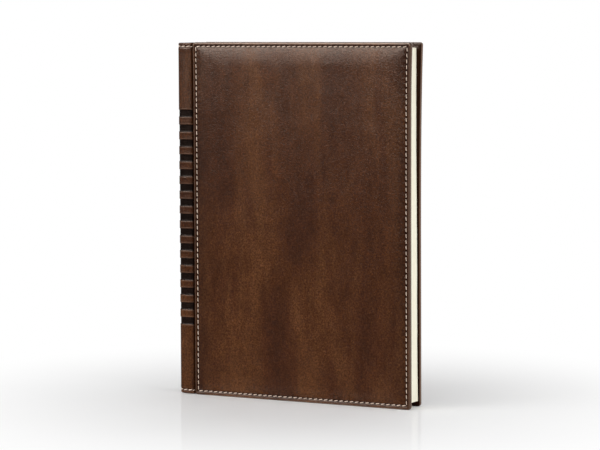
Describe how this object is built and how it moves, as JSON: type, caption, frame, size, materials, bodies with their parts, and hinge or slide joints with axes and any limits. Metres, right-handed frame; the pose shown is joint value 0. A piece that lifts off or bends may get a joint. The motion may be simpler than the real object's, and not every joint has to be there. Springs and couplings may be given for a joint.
{
  "type": "hardbound planner",
  "caption": "Hardbound planner with padded, stitched leather covers that swing open, a banded leather spine and a block of pages.",
  "frame": {"origin": "middle of the footprint, on the plane that the tail edges stand on", "axes": "+Z from tail to head, -Y out of the front cover, +X towards the fore-edge, -X towards the spine"},
  "size_m": [0.151, 0.019, 0.21],
  "materials": {
    "leather": "mottled brown, fine grain, satin",
    "board": "grey bookbinding board",
    "foam": "soft foam sheet",
    "endpaper": "matt cream endpaper",
    "page_paper": "matt cream page edges",
    "lining_cloth": "open woven lining cloth",
    "band_thread": "woven head band thread",
    "thread": "pale sewing thread"
  },
  "bodies": {
    "spine_and_pages": {"text_block": "page_paper", "spine_lining": "lining_cloth", "head_band": "band_thread", "tail_band": "band_thread", "spine_card": "board", "spine_leather": "leather"},
    "front_cover": {"front_board": "board", "front_padding": "foam", "front_leather": "leather", "front_endpaper": "endpaper"},
    "back_cover": {"back_board": "board", "back_padding": "foam", "back_leather": "leather", "back_endpaper": "endpaper"}
  },
  "joints": [
    {"name": "front_cover_hinge", "type": "hinge", "parent": "spine_and_pages", "child": "front_cover", "pos_m": [-0.0643, -0.0091, 0.105], "axis": [0, 0, -1], "range_deg": [0, 180]},
    {"name": "back_cover_hinge", "type": "hinge", "parent": "spine_and_pages", "child": "back_cover", "pos_m": [-0.0643, 0.0091, 0.105], "axis": [0, 0, 1], "range_deg": [0, 180]}
  ]
}
